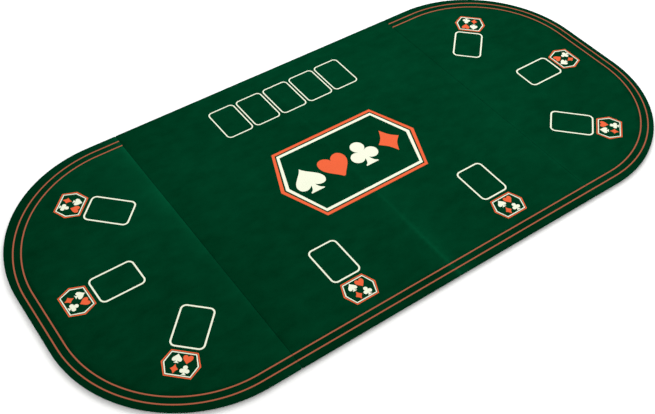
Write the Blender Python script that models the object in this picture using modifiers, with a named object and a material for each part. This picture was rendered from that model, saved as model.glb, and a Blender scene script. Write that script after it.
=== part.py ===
"""Folding poker table top: four felt-covered boards hinged in a row, lying on rubber pads.

The two middle boards share one felt, which is the hinge of the centre fold: they close felt to felt.
Each end board has a felt of its own and two steel butt hinges below the seam, so it folds back
under the middle board beside it. All lengths are in metres, +X runs along the table, +Z is up, and
the origin is the centre of the surface that the pads stand on.
"""

import math

import bmesh
import bpy
from mathutils import Matrix, Vector

# Plan of the whole top
HALF_LENGTH = 0.900
HALF_WIDTH = 0.450
END_CORNER_RADIUS = 0.355
SEAM_CORNER_RADIUS = 0.003
SEAM_X = 0.4610  # each end seam, and the hinge pins below it
END_SEAM_GAP = 0.0010  # between the felts of an end board and a middle board
CENTRE_BOARD_GAP = 0.0010  # between the two middle boards, under their shared felt
CENTRE_FELT_GAP = 0.0004  # the line of the fold, where the shared felt is divided

# Layers, from the table upwards
GAP = 0.0003  # clearance between faces that touch
PAD_HEIGHT = 0.0044
FELT_THICKNESS = 0.0010
BOARD_THICKNESS = 0.0060
UNDERSIDE = PAD_HEIGHT + GAP
BOARD_LOW = UNDERSIDE + FELT_THICKNESS + GAP
BOARD_HIGH = BOARD_LOW + BOARD_THICKNESS
FELT_INNER_TOP = BOARD_HIGH + GAP
TOP = FELT_INNER_TOP + FELT_THICKNESS
FELT_MARGIN = 0.032  # felt turned under each board
FELT_EDGE_ROUND = 0.0009
FOLD_AXIS_Z = TOP + 0.00025  # the centre fold turns in the nap of the felt

# Butt hinges
HINGE_Y = {"near": -0.270, "far": 0.270}
HINGE_LENGTH = 0.050
BARREL_RADIUS = 0.0020
LEAF_THICKNESS = 0.0010
LEAF_WIDTH = 0.028
KNUCKLES = 5
KNUCKLE_GAP = 0.0004
PIN_RADIUS = 0.0010
PIN_CLEARANCE = 0.0001
LEAF_FACE = UNDERSIDE - GAP
PIN_Z = LEAF_FACE - BARREL_RADIUS

# Countersunk hinge screws
SCREW_SHANK_RADIUS = 0.0012
SCREW_HEAD_RADIUS = 0.0024
SCREW_LENGTH = 0.0058
SCREW_TIP = 0.0012
SCREW_HOLE_GAP = 0.0003
SCREW_REACH = 0.016  # from the pin
SCREW_ALONG = (-0.016, 0.016)  # from the hinge's middle

# Rubber pads, as (distance from the end seam, Y)
PAD_RADIUS = 0.010
PAD_FOOT_RADIUS = 0.0092
END_PADS = ((0.070, -0.385), (0.070, 0.385), (0.385, -0.150), (0.385, 0.150))
MIDDLE_PADS = ((0.070, -0.330), (0.070, 0.330), (0.400, -0.400), (0.400, 0.400))

# Roundness
CORNER_STEPS = 14
SEAM_CORNER_STEPS = 2
BARREL_STEPS = 14
SCREW_STEPS = 10
PAD_STEPS = 16
CUT_OVERRUN = 0.010

COLLECTION = "folding_poker_table_top"
CUTTER_COLLECTION = "cutters"


def clear_scene():
    for obj in list(bpy.data.objects):
        bpy.data.objects.remove(obj, do_unlink=True)
    for name in (COLLECTION, CUTTER_COLLECTION):
        bpy.context.scene.collection.children.link(bpy.data.collections.new(name))


def make_material(name, colour, roughness, metallic=0.0):
    material = bpy.data.materials.new(name)
    material.use_nodes = True
    shader = material.node_tree.nodes["Principled BSDF"]
    shader.inputs["Base Color"].default_value = (*colour, 1.0)
    shader.inputs["Roughness"].default_value = roughness
    shader.inputs["Metallic"].default_value = metallic
    return material


def make_materials():
    return {
        "felt": make_material("green_felt", (0.004, 0.045, 0.018), 0.95),
        "board": make_material("fibreboard", (0.36, 0.22, 0.12), 0.8),
        "lining": make_material("black_lining", (0.012, 0.012, 0.013), 0.6),
        "steel": make_material("zinc_plated_steel", (0.62, 0.63, 0.65), 0.35, 1.0),
        "rubber": make_material("black_rubber", (0.02, 0.02, 0.02), 0.85),
    }


def link(obj, collection):
    bpy.data.collections[collection].objects.link(obj)
    return obj


def hide_cutter(obj):
    obj.hide_render = True
    obj.display_type = "WIRE"
    return obj


def arc(centre, radius, start, end, steps):
    """Points along an arc, angles in degrees; a radius of nothing gives its centre."""
    if radius <= 0.0:
        return [centre]
    angles = [math.radians(start + (end - start) * i / steps) for i in range(steps + 1)]
    return [(centre[0] + radius * math.cos(a), centre[1] + radius * math.sin(a)) for a in angles]


def rounded_outline(x_low, x_high, half_width, radius_low, radius_high):
    """Rectangle about the X axis, with one corner radius at each end."""
    points = []
    corners = (
        (x_high, 1, radius_high, 0),
        (x_low, 1, radius_low, 90),
        (x_low, -1, radius_low, 180),
        (x_high, -1, radius_high, 270),
    )
    for x, side, radius, start in corners:
        radius = max(radius, 0.0)
        inward = radius if x == x_low else -radius
        steps = CORNER_STEPS if radius > HALF_WIDTH / 4 else SEAM_CORNER_STEPS
        centre = (x + inward, side * (half_width - radius))
        points += arc(centre, radius, start, start + 90, steps)
    return points


def side_of(panel):
    return -1 if panel.endswith("left") else 1


def outward_of(panel):
    return 1 if panel.startswith("end") else -1


def panel_outline(panel, inset, centre_inset=None):
    """A panel's plan, drawn in by inset; centre_inset is used at the centre fold instead."""
    if panel.startswith("end"):
        near = SEAM_X + END_SEAM_GAP / 2 + inset
        far = HALF_LENGTH - inset
        near_radius = SEAM_CORNER_RADIUS - inset
        far_radius = END_CORNER_RADIUS - inset
    else:
        near = centre_inset
        far = SEAM_X - END_SEAM_GAP / 2 - inset
        near_radius = 0.0
        far_radius = SEAM_CORNER_RADIUS - inset
    if side_of(panel) > 0:
        return rounded_outline(near, far, HALF_WIDTH - inset, near_radius, far_radius)
    return rounded_outline(-far, -near, HALF_WIDTH - inset, far_radius, near_radius)


def curve_to_mesh(curve_obj, name):
    """Turns a curve object into a mesh object with welded caps, in the same place."""
    bpy.context.view_layer.update()
    evaluated = curve_obj.evaluated_get(bpy.context.evaluated_depsgraph_get())
    mesh = bpy.data.meshes.new_from_object(evaluated)
    mesh.name = name
    shape = bmesh.new()
    shape.from_mesh(mesh)
    bmesh.ops.remove_doubles(shape, verts=shape.verts, dist=1e-6)
    shape.to_mesh(mesh)
    shape.free()
    obj = bpy.data.objects.new(name, mesh)
    obj.matrix_world = curve_obj.matrix_world
    bpy.data.objects.remove(curve_obj, do_unlink=True)
    return obj


def extruded(name, outlines, half_depth, location, rotation=(0.0, 0.0, 0.0)):
    """Flat outline, with any holes in it, given a thickness of twice half_depth."""
    curve = bpy.data.curves.new(name + "_outline", "CURVE")
    curve.dimensions = "2D"
    curve.fill_mode = "BOTH"
    curve.extrude = half_depth
    for outline in outlines:
        spline = curve.splines.new("POLY")
        spline.points.add(len(outline) - 1)
        for point, (x, y) in zip(spline.points, outline):
            point.co = (x, y, 0.0, 1.0)
        spline.use_cyclic_u = True
    obj = bpy.data.objects.new(name + "_curve", curve)
    obj.location = location
    obj.rotation_euler = rotation
    link(obj, COLLECTION)
    return curve_to_mesh(obj, name)


def plate(name, outline, z_low, z_high, collection=COLLECTION):
    obj = extruded(name, [outline], (z_high - z_low) / 2, (0.0, 0.0, (z_low + z_high) / 2))
    return link(obj, collection)


def cutter_plate(name, outline, z_low, z_high):
    return hide_cutter(plate(name, outline, z_low, z_high, CUTTER_COLLECTION))


def mesh_object(name, shape, collection=COLLECTION):
    mesh = bpy.data.meshes.new(name)
    shape.to_mesh(mesh)
    shape.free()
    return link(bpy.data.objects.new(name, mesh), collection)


def add_cone(shape, low_radius, high_radius, z_low, z_high, x, y, steps):
    centre = Matrix.Translation((x, y, (z_low + z_high) / 2))
    bmesh.ops.create_cone(
        shape,
        cap_ends=True,
        segments=steps,
        radius1=low_radius,
        radius2=high_radius,
        depth=z_high - z_low,
        matrix=centre,
    )


def cut(obj, cutter):
    modifier = obj.modifiers.new("cut_" + cutter.name, "BOOLEAN")
    modifier.operation = "DIFFERENCE"
    modifier.solver = "EXACT"
    modifier.object = cutter


def round_edges(obj, width):
    modifier = obj.modifiers.new("rounded_edges", "BEVEL")
    modifier.width = width
    modifier.segments = 1
    modifier.limit_method = "ANGLE"
    modifier.angle_limit = math.radians(60)


def shade_round(obj):
    obj.data.shade_smooth()
    obj.data.set_sharp_from_angle(angle=math.radians(35))


def attach(obj, material, axis):
    """Gives a finished piece its material and puts its origin on its body's joint axis."""
    obj.data.materials.clear()
    obj.data.materials.append(material)
    obj.data.transform(Matrix.Translation(-axis.matrix_world.translation) @ obj.matrix_world)
    obj.parent = axis
    obj.location = (0.0, 0.0, 0.0)
    obj.rotation_euler = (0.0, 0.0, 0.0)
    obj.scale = (1.0, 1.0, 1.0)


def place_copy(name, mesh, location, material, axis):
    """Another object on a shared mesh, at a point in the world, that moves with an axis."""
    obj = link(bpy.data.objects.new(name, mesh), COLLECTION)
    if not mesh.materials:
        mesh.materials.append(material)
        shade_round(obj)
    obj.parent = axis
    obj.location = Vector(location) - axis.matrix_world.translation


def make_axis(name, location, parent=None):
    axis = bpy.data.objects.new(name, None)
    axis.empty_display_size = 0.05
    link(axis, COLLECTION)
    axis.parent = parent
    axis.location = Vector(location) - (parent.matrix_world.translation if parent else Vector())
    bpy.context.view_layer.update()
    return axis


def make_axes():
    """One empty for each body, on the axis that the body turns about."""
    root = make_axis("centre_left_base", (0.0, 0.0, 0.0))
    fold = make_axis("centre_fold_axis", (0.0, 0.0, FOLD_AXIS_Z), root)
    return {
        "centre_left": root,
        "centre_right": fold,
        "end_left": make_axis("left_end_fold_axis", (-SEAM_X, 0.0, PIN_Z), root),
        "end_right": make_axis("right_end_fold_axis", (SEAM_X, 0.0, PIN_Z), fold),
    }


def screw_places(side, hinge_y, outward):
    """The screws of one hinge leaf, as points in plan; outward is 1 on the end board and -1 on the middle."""
    x = side * (SEAM_X + outward * SCREW_REACH)
    return [(x, hinge_y + along) for along in SCREW_ALONG]


def screw_hole_cutter(panel):
    shape = bmesh.new()
    radius = SCREW_SHANK_RADIUS + SCREW_HOLE_GAP
    bottom = LEAF_FACE - LEAF_THICKNESS
    for hinge_y in HINGE_Y.values():
        for x, y in screw_places(side_of(panel), hinge_y, outward_of(panel)):
            add_cone(shape, radius, radius, bottom, bottom + SCREW_LENGTH + GAP, x, y, SCREW_STEPS)
    return hide_cutter(mesh_object(panel + "_screw_holes", shape, CUTTER_COLLECTION))


def make_board(panel, holes):
    covering = FELT_THICKNESS + GAP
    outline = panel_outline(panel, covering, CENTRE_BOARD_GAP / 2)
    board = plate(panel + "_board", outline, BOARD_LOW, BOARD_HIGH)
    cut(board, holes)
    return board


def make_felt(panel, holes):
    """Felt over the top and the sides of a board, turned under it by a margin."""
    felt = plate(panel + "_felt", panel_outline(panel, 0.0, CENTRE_FELT_GAP / 2), UNDERSIDE, TOP)
    round_edges(felt, FELT_EDGE_ROUND)
    past_fold = -CUT_OVERRUN
    cavity_outline = panel_outline(panel, FELT_THICKNESS, past_fold)
    mouth_outline = panel_outline(panel, FELT_MARGIN, past_fold)
    inner_low = UNDERSIDE + FELT_THICKNESS
    cavity = cutter_plate(panel + "_felt_cavity", cavity_outline, inner_low, FELT_INNER_TOP)
    mouth = cutter_plate(
        panel + "_felt_mouth", mouth_outline, UNDERSIDE - CUT_OVERRUN, inner_low + GAP
    )
    for cutter in (cavity, mouth, holes):
        cut(felt, cutter)
    return felt


def make_lining(panel):
    """Black sheet on the underside, inside the felt's turned margin."""
    outline = panel_outline(panel, FELT_MARGIN + GAP, CENTRE_BOARD_GAP)
    return plate(panel + "_lining", outline, UNDERSIDE, UNDERSIDE + FELT_THICKNESS)


def pad_mesh():
    shape = bmesh.new()
    add_cone(shape, PAD_FOOT_RADIUS, PAD_RADIUS, 0.0, PAD_HEIGHT, 0.0, 0.0, PAD_STEPS)
    mesh = bpy.data.meshes.new("pad")
    shape.to_mesh(mesh)
    shape.free()
    return mesh


def make_pads(panel, pad, material, axis):
    """Stick-on pads that keep the hinge barrels off the table."""
    places = END_PADS if panel.startswith("end") else MIDDLE_PADS
    for number, (reach, y) in enumerate(places, start=1):
        x = side_of(panel) * (SEAM_X + outward_of(panel) * reach)
        place_copy(panel + "_pad_" + str(number), pad, (x, y, 0.0), material, axis)


def screw_mesh():
    """One screw about its own axis, head face at Z = 0 and point upwards."""
    head_height = LEAF_THICKNESS
    profile = (
        (0.0, SCREW_LENGTH),
        (SCREW_SHANK_RADIUS, SCREW_LENGTH - SCREW_TIP),
        (SCREW_SHANK_RADIUS, head_height),
        (SCREW_HEAD_RADIUS, 0.0),
        (0.0, 0.0),
    )
    shape = bmesh.new()
    points = [shape.verts.new((x, 0.0, z)) for x, z in profile]
    for first, second in zip(points, points[1:]):
        shape.edges.new((first, second))
    obj = mesh_object("screw_profile", shape)
    turn = obj.modifiers.new("turned", "SCREW")
    turn.axis = "Z"
    turn.steps = SCREW_STEPS
    turn.render_steps = SCREW_STEPS
    turn.use_merge_vertices = True
    turn.merge_threshold = 0.00001
    bpy.context.view_layer.update()
    evaluated = obj.evaluated_get(bpy.context.evaluated_depsgraph_get())
    mesh = bpy.data.meshes.new_from_object(evaluated)
    bpy.data.objects.remove(obj, do_unlink=True)
    return mesh


def leaf_profile(direction):
    """Section of a hinge leaf about the pin: a flat plate that rolls into a barrel."""
    meet = math.degrees(math.asin((BARREL_RADIUS - LEAF_THICKNESS) / BARREL_RADIUS))
    barrel = arc((0.0, 0.0), BARREL_RADIUS, meet, -270.0, BARREL_STEPS)
    section = [
        (LEAF_WIDTH, BARREL_RADIUS),
        (LEAF_WIDTH, BARREL_RADIUS - LEAF_THICKNESS),
        *barrel,
    ]
    bore = arc((0.0, 0.0), PIN_RADIUS + PIN_CLEARANCE, 0.0, 360.0, BARREL_STEPS)[:-1]
    return [[(direction * x, z) for x, z in outline] for outline in (section, bore)]


def knuckle_cutter(name, hinge_x, hinge_y, own_parity):
    """Removes the barrel where the other leaf's knuckles turn."""
    pitch = HINGE_LENGTH / KNUCKLES
    reach = BARREL_RADIUS + KNUCKLE_GAP
    shape = bmesh.new()
    for number in range(KNUCKLES):
        if number % 2 == own_parity:
            continue
        low = hinge_y - HINGE_LENGTH / 2 + number * pitch - KNUCKLE_GAP / 2
        high = low + pitch + KNUCKLE_GAP
        if number == 0:
            low -= CUT_OVERRUN
        if number == KNUCKLES - 1:
            high += CUT_OVERRUN
        box = Matrix.Translation((hinge_x, (low + high) / 2, PIN_Z))
        box = box @ Matrix.Diagonal((2 * reach, high - low, 2 * reach, 1.0))
        bmesh.ops.create_cube(shape, size=1.0, matrix=box)
    return hide_cutter(mesh_object(name, shape, CUTTER_COLLECTION))


def countersink_cutter(name, places):
    shape = bmesh.new()
    bottom = LEAF_FACE - LEAF_THICKNESS
    narrow = SCREW_SHANK_RADIUS + SCREW_HOLE_GAP
    wide = SCREW_HEAD_RADIUS + SCREW_HOLE_GAP
    slope = (wide - narrow) / LEAF_THICKNESS
    extra = LEAF_THICKNESS / 2
    low_radius = wide + slope * extra
    high_radius = narrow - slope * extra
    for x, y in places:
        add_cone(shape, low_radius, high_radius, bottom - extra, LEAF_FACE + extra, x, y, SCREW_STEPS)
    return hide_cutter(mesh_object(name, shape, CUTTER_COLLECTION))


def make_leaf(name, side, hinge_y, outward, own_parity):
    """One hinge leaf; outward is 1 for the leaf on the end board and -1 on the middle board."""
    hinge_x = side * SEAM_X
    direction = side * outward
    leaf = extruded(
        name,
        leaf_profile(direction),
        HINGE_LENGTH / 2,
        (hinge_x, hinge_y, PIN_Z),
        (math.radians(90), 0.0, 0.0),
    )
    link(leaf, COLLECTION)
    cut(leaf, knuckle_cutter(name + "_knuckle_room", hinge_x, hinge_y, own_parity))
    places = screw_places(side, hinge_y, outward)
    cut(leaf, countersink_cutter(name + "_countersinks", places))
    shade_round(leaf)
    return leaf


def make_pin(name, side, hinge_y):
    shape = bmesh.new()
    turn = Matrix.Translation((side * SEAM_X, hinge_y, PIN_Z)) @ Matrix.Rotation(math.pi / 2, 4, "X")
    bmesh.ops.create_cone(
        shape,
        cap_ends=True,
        segments=BARREL_STEPS,
        radius1=PIN_RADIUS,
        radius2=PIN_RADIUS,
        depth=HINGE_LENGTH,
        matrix=turn,
    )
    pin = mesh_object(name, shape)
    shade_round(pin)
    return pin


def make_hinge(stem, side, hinge_y, screw, steel, axes):
    """A butt hinge: a leaf with its screws on each board, and the pin, which stays on the middle board."""
    for place, outward, own_parity in (("middle", -1, 0), ("end", 1, 1)):
        axis = axes[place]
        attach(make_leaf(stem + "_" + place + "_leaf", side, hinge_y, outward, own_parity), steel, axis)
        for number, (x, y) in enumerate(screw_places(side, hinge_y, outward), start=1):
            name = stem + "_" + place + "_screw_" + str(number)
            place_copy(name, screw, (x, y, LEAF_FACE - LEAF_THICKNESS), steel, axis)
    attach(make_pin(stem + "_pin", side, hinge_y), steel, axes["middle"])


def make_panel(panel, pad, materials, axis):
    holes = screw_hole_cutter(panel)
    attach(make_board(panel, holes), materials["board"], axis)
    attach(make_felt(panel, holes), materials["felt"], axis)
    attach(make_lining(panel), materials["lining"], axis)
    make_pads(panel, pad, materials["rubber"], axis)


def main():
    clear_scene()
    materials = make_materials()
    axes = make_axes()
    pad = pad_mesh()
    for panel, axis in axes.items():
        make_panel(panel, pad, materials, axis)
    screw = screw_mesh()
    for side_name, side in (("left", -1), ("right", 1)):
        seam_axes = {"middle": axes["centre_" + side_name], "end": axes["end_" + side_name]}
        for place, hinge_y in HINGE_Y.items():
            stem = side_name + "_hinge_" + place
            make_hinge(stem, side, hinge_y, screw, materials["steel"], seam_axes)


main()
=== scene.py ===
"""Looks of the folding poker table top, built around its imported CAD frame.

The three felts are made here as cloth over the boards, with the printed layout cut into their mesh, so
that every printed edge is a real edge between two inks. Everything else rides on the CAD bodies.
"""

import math

import bmesh
import bpy
import numpy as np
from mathutils import Matrix, Vector, noise
from mathutils.geometry import delaunay_2d_cdt


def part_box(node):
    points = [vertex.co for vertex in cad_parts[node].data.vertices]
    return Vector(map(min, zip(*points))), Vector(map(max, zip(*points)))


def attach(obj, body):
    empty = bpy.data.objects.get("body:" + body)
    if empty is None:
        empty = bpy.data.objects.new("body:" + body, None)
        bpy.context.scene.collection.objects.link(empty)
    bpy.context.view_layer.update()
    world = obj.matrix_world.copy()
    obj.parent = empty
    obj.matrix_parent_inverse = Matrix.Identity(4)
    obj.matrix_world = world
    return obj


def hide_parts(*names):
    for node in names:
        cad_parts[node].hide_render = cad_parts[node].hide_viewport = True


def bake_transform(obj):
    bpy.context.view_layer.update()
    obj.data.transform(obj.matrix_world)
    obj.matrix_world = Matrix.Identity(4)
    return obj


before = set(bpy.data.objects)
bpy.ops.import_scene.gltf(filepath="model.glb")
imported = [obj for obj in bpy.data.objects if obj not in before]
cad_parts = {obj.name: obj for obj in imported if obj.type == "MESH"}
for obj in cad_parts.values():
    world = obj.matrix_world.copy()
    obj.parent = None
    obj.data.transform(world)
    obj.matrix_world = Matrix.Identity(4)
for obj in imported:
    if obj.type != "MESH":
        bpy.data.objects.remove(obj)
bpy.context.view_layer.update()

# Places read from the frame
END_LOW, END_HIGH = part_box("end_left_felt")
MIDDLE_LOW, MIDDLE_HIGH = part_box("centre_left_felt")
TOP = END_HIGH.z
UNDERSIDE = END_LOW.z
HALF_LENGTH = -END_LOW.x
HALF_WIDTH = END_HIGH.y
SEAM_NAP = 0.0003  # the pile that stands out into the seams
END_SEAM = -END_HIGH.x - SEAM_NAP  # inner edge of each end felt
MIDDLE_SEAM = SEAM_NAP - MIDDLE_LOW.x  # outer edge of the middle felt

# Felt over the boards
END_CORNER_RADIUS = 0.355
CORNERS = {"round": (END_CORNER_RADIUS, 60), "seam": (0.003, 4)}  # radius, steps
LEAST_RADIUS = 0.0004
LEAST_RUN = 0.000002  # shortest piece of an edge that may be cut off at a crease column
FELT_THICKNESS = 0.0009
FELT_MARGIN = 0.032
TOP_ROUND = 0.0011
BOTTOM_ROUND = 0.0014
PLEAT_DEPTH = 0.0011
SIDE_LEVEL = 4  # the step of the wrap's profile at which the rounded top edge ends
EDGE_SPACING = 0.009
FILL_SPACING = 0.011
FILL_CLEARANCE = 0.004
CREASE_COLUMNS = (-0.0010, -0.0007, -0.0004, 0.0, 0.0004, 0.0007, 0.0010)
SLIT_HALF = 0.0010  # the side wrap is slit this far either side of the centre fold

# Lining, pads and hinges below
LINING_THICKNESS = 0.0009
LINING_EDGE_ROUND = 0.0003
LINING_SPACING = 0.022
PAD_STEPS = 64
KNUCKLES = 5
KNUCKLE_GAP = 0.0004
PIN_CLEARANCE = 0.0001
LEAF_THICKNESS = 0.0010
LEAF_CORNER = 0.0035
LEAF_EDGE_ROUND = 0.00012
BARREL_STEPS = 48
SCREW_CLEARANCE = 0.0003
WELD = 0.000003  # points closer than this are merged after a cut
SCREW_STEPS = 32
THREAD_PITCH = 0.0011

# Printed layout
PRINT_SHIFT = 0.010  # the middle felt's print sits this far to the right of the fold
BORDER_HALF_LENGTH = 0.8858
BORDER_HALF_WIDTH = 0.4305
BORDER_CENTRE_Y = -0.0022
BORDER_RADIUS = 0.335
BORDER_RADIUS_FAR_LEFT = 0.353
BORDER_LINE = 0.0036
BORDER_STEP = 0.0195  # from one border line to the next
CARD_WIDTH = 0.084
CARD_LENGTH = 0.119
CARD_RADIUS = 0.0150
CARD_LINE = 0.0043
SHARED_CARD_WIDTH = 0.0827
SHARED_CARD_PITCH = 0.0891
SHARED_CARD_RADIUS = 0.0135
SHARED_CARD_LINE = 0.0035
SHARED_CARDS = (0.0070, 0.3245)  # middle of the row
END_PLAYERS = (
    ((0.686, -0.002), (0.7895, -0.002)),
    ((0.597, 0.212), (0.669, 0.285)),
    ((0.605, -0.218), (0.677, -0.291)),
)  # card box and badge, for each player at an end
NEAR_PLAYER_X = 0.2375
NEAR_CARD_Y = -0.2445
NEAR_BADGE_Y = -0.3480
SMALL_BADGE = (0.092, 0.070)
SMALL_SUIT = 0.0250
SMALL_BADGE_LINE = 0.0027
MIDDLE_BADGE = (0.436, 0.262)
MIDDLE_BADGE_Y = 0.016
MIDDLE_SUIT = 0.092
MIDDLE_BADGE_LINE = 0.0085

FELT, WHITE, ORANGE, RED = 0, 1, 2, 3  # material slots of a felt
BOARD_BODIES = ("end_left", "centre_left", "centre_right", "end_right")


def add_object(name, data):
    obj = bpy.data.objects.new(name, data)
    bpy.context.scene.collection.objects.link(obj)
    return obj


# ---------------------------------------------------------------- outlines


def arc(centre, radius, start, end, steps):
    angles = [math.radians(start + (end - start) * i / steps) for i in range(steps + 1)]
    return [Vector((centre[0] + radius * math.cos(a), centre[1] + radius * math.sin(a))) for a in angles]


def bezier(a, b, c, d, steps=12):
    """Points of a cubic curve, without its last one."""
    a, b, c, d = (Vector(p) for p in (a, b, c, d))
    points = []
    for i in range(steps):
        t = i / steps
        s = 1 - t
        points.append(s * s * s * a + 3 * s * s * t * b + 3 * s * t * t * c + t * t * t * d)
    return points


def rounded_corners(x_low, x_high, half_width, radii, steps):
    """The four corner arcs of a rectangle about the X axis, anticlockwise from the far right.

    radii and steps give the value at the low end and the value at the high end.
    """
    low, high = (x_low + radii[0], radii[0], steps[0]), (x_high - radii[1], radii[1], steps[1])
    return [
        arc((x, side * (half_width - radius)), radius, start, start + 90, count)
        for (x, radius, count), side, start in ((high, 1, 0), (low, 1, 90), (low, -1, 180), (high, -1, 270))
    ]


def rounded_outline(x_low, x_high, half_width, radii, steps):
    corners = rounded_corners(x_low, x_high, half_width, radii, (steps, steps))
    return [p for corner in corners for p in corner]


def anticlockwise(points):
    """The same loop, turned round if it runs clockwise, because the triangulation needs it so."""
    doubled = sum(a.x * b.y - b.x * a.y for a, b in zip(points, points[1:] + points[:1]))
    return points if doubled > 0 else points[::-1]


def straight_shares(start, end, columns):
    """How far along a straight edge its points are, from 0 to 1, with a point at each named column."""
    length = (end - start).length
    count = max(1, round(length / EDGE_SPACING))
    shares = {i / count for i in range(1, count)}
    low, high = sorted((start.x, end.x))
    exact = {(x - start.x) / (end.x - start.x) for x in columns if low + LEAST_RUN < x < high - LEAST_RUN}
    if exact:
        clear = 0.6 * EDGE_SPACING / length
        shares = {s for s in shares if all(abs(s - e) > clear for e in exact)} | exact
    return sorted(shares)


def divided(outline, columns):
    """An outline with more points on its edges, so that what is printed bends with the felt."""
    points = []
    for start, end in zip(outline, outline[1:] + outline[:1]):
        points.append(start)
        points += [start.lerp(end, share) for share in straight_shares(start, end, columns)]
    return points


def felt_outline(panel, inset, shares=None):
    """A felt's plan drawn in by inset, as one loop. shares keeps every loop's points in step."""
    if panel == "middle":
        x_low, x_high = -MIDDLE_SEAM, MIDDLE_SEAM
        kinds = ("seam", "seam")
    elif panel == "left":
        x_low, x_high = -HALF_LENGTH, -END_SEAM
        kinds = ("round", "seam")
    else:
        x_low, x_high = END_SEAM, HALF_LENGTH
        kinds = ("seam", "round")
    radii = [max(CORNERS[kind][0] - inset, LEAST_RADIUS) for kind in kinds]
    steps = [CORNERS[kind][1] for kind in kinds]
    corners = rounded_corners(x_low + inset, x_high - inset, HALF_WIDTH - inset, radii, steps)
    loop = []
    made_shares = []
    columns = CREASE_COLUMNS if panel == "middle" else ()
    for number, corner in enumerate(corners):
        following = corners[(number + 1) % 4][0]
        start = corner[-1]
        edge = straight_shares(start, following, columns) if shares is None else shares[number]
        made_shares.append(edge)
        loop += corner + [start.lerp(following, s) for s in edge]
    return loop, made_shares


# ---------------------------------------------------------------- printed shapes


def placed(points, centre, up, scale=1.0):
    """Points drawn upright about nothing, turned so that +Y becomes up, and moved to centre."""
    up = Vector(up).normalized()
    right = Vector((up.y, -up.x))
    return [Vector(centre) + scale * (p[0] * right + p[1] * up) for p in points]


def mirrored(half):
    """A closed outline from its right half, which runs from the top to the bottom."""
    return list(half) + [Vector((-p.x, p.y)) for p in reversed(half)]


def diamond():
    bow = 0.055
    corners = [(0, 0.5), (0.37, 0), (0, -0.5), (-0.37, 0)]
    points = []
    for (ax, ay), (bx, by) in zip(corners, corners[1:] + corners[:1]):
        pull = 1 - 4 * bow
        middle = ((ax + bx) / 2 * pull, (ay + by) / 2 * pull)
        points += bezier((ax, ay), middle, middle, (bx, by), 8)
    return [points]


def heart():
    half = bezier((0, 0.27), (0.06, 0.50), (0.47, 0.56), (0.46, 0.18))
    half += bezier((0.46, 0.18), (0.44, -0.10), (0.12, -0.26), (0, -0.50))
    return [mirrored(half)[:-1]]


def stem(top, width):
    half = bezier((0.045, top), (0.05, -0.28), (0.10, -0.42), (width, -0.46))
    half += [Vector((width, -0.46)), Vector((width, -0.50))]
    return mirrored(half)


def spade():
    half = bezier((0, 0.50), (0.12, 0.26), (0.44, 0.12), (0.46, -0.12))
    half += bezier((0.46, -0.12), (0.46, -0.40), (0.12, -0.38), (0.03, -0.17))
    return [mirrored(half)[1:], stem(0.0, 0.22)]


def club():
    radius = 0.215
    lobes = [(0, 0.285), (0.235, -0.085), (-0.235, -0.085)]
    shapes = [arc(centre, radius, 0, 350, 35) for centre in lobes]
    shapes.append(arc((0, 0.04), 0.13, 0, 345, 23))
    shapes.append(stem(0.05, 0.21))
    return shapes


SUITS = {
    "spade": (spade, WHITE),
    "heart": (heart, ORANGE),
    "club": (club, WHITE),
    "diamond": (diamond, ORANGE),
}


def long_hexagon(half_length, half_height, shoulder):
    return [
        (half_length, 0), (shoulder, half_height), (-shoulder, half_height),
        (-half_length, 0), (-shoulder, -half_height), (shoulder, -half_height),
    ]


def badge(centre, up, size, rows, suit_height, line):
    """A six-sided frame of two lines with suit marks in rows, as (outline, ink) in painting order."""
    half_length, half_height = size[0] / 2, size[1] / 2
    point = half_length - 0.42 * half_height
    shapes = []
    for inset, ink in ((0, ORANGE), (line, FELT), (1.5 * line, WHITE), (2.5 * line, FELT)):
        frame_line = long_hexagon(half_length - 1.2 * inset, half_height - inset, point - 0.55 * inset)
        shapes.append((placed(frame_line, centre, up), ink))
    up = Vector(up).normalized()
    right = Vector((up.y, -up.x))
    for row, names in enumerate(rows):
        for column, name in enumerate(names):
            make, ink = SUITS[name]
            across = (column - (len(names) - 1) / 2) * suit_height * 0.96
            above = ((len(rows) - 1) / 2 - row) * suit_height * 1.12
            spot = Vector(centre) + across * right + above * up
            shapes += [(placed(part, spot, up, suit_height), ink) for part in make()]
    return shapes


def card_box(centre, up, width=CARD_WIDTH, radius=CARD_RADIUS, line=CARD_LINE):
    shapes = []
    for inset, ink in ((0.0, WHITE), (line, FELT)):
        half_width = width / 2 - inset
        half_length = CARD_LENGTH / 2 - inset
        corner = radius - inset
        outline = rounded_outline(-half_width, half_width, half_length, (corner, corner), 16)
        shapes.append((placed(outline, centre, up), ink))
    return shapes


def player_place(card_centre, badge_centre):
    """A card box with its small badge, both upright for the player behind the badge."""
    up = Vector(card_centre) - Vector(badge_centre)
    rows = (("spade", "heart"), ("diamond", "club"))
    mark = badge(badge_centre, up, SMALL_BADGE, rows, SMALL_SUIT, SMALL_BADGE_LINE)
    return card_box(card_centre, up) + mark


def border_outline(inset):
    x, y = BORDER_HALF_LENGTH - inset, BORDER_HALF_WIDTH - inset
    outline = []
    for side_x, side_y, start in ((1, 1, 0), (-1, 1, 90), (-1, -1, 180), (1, -1, 270)):
        radius = (BORDER_RADIUS_FAR_LEFT if start == 90 else BORDER_RADIUS) - inset
        centre = (side_x * (x - radius), side_y * (y - radius) + BORDER_CENTRE_Y)
        outline += arc(centre, radius, start, start + 90, 48)
    return outline


def border_lines():
    """Two thin lines round the whole table, as full loops."""
    insets = (0.0, BORDER_LINE, BORDER_STEP, BORDER_STEP + BORDER_LINE)
    return [(border_outline(inset), ink) for inset, ink in zip(insets, (RED, FELT) * 2)]


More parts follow.
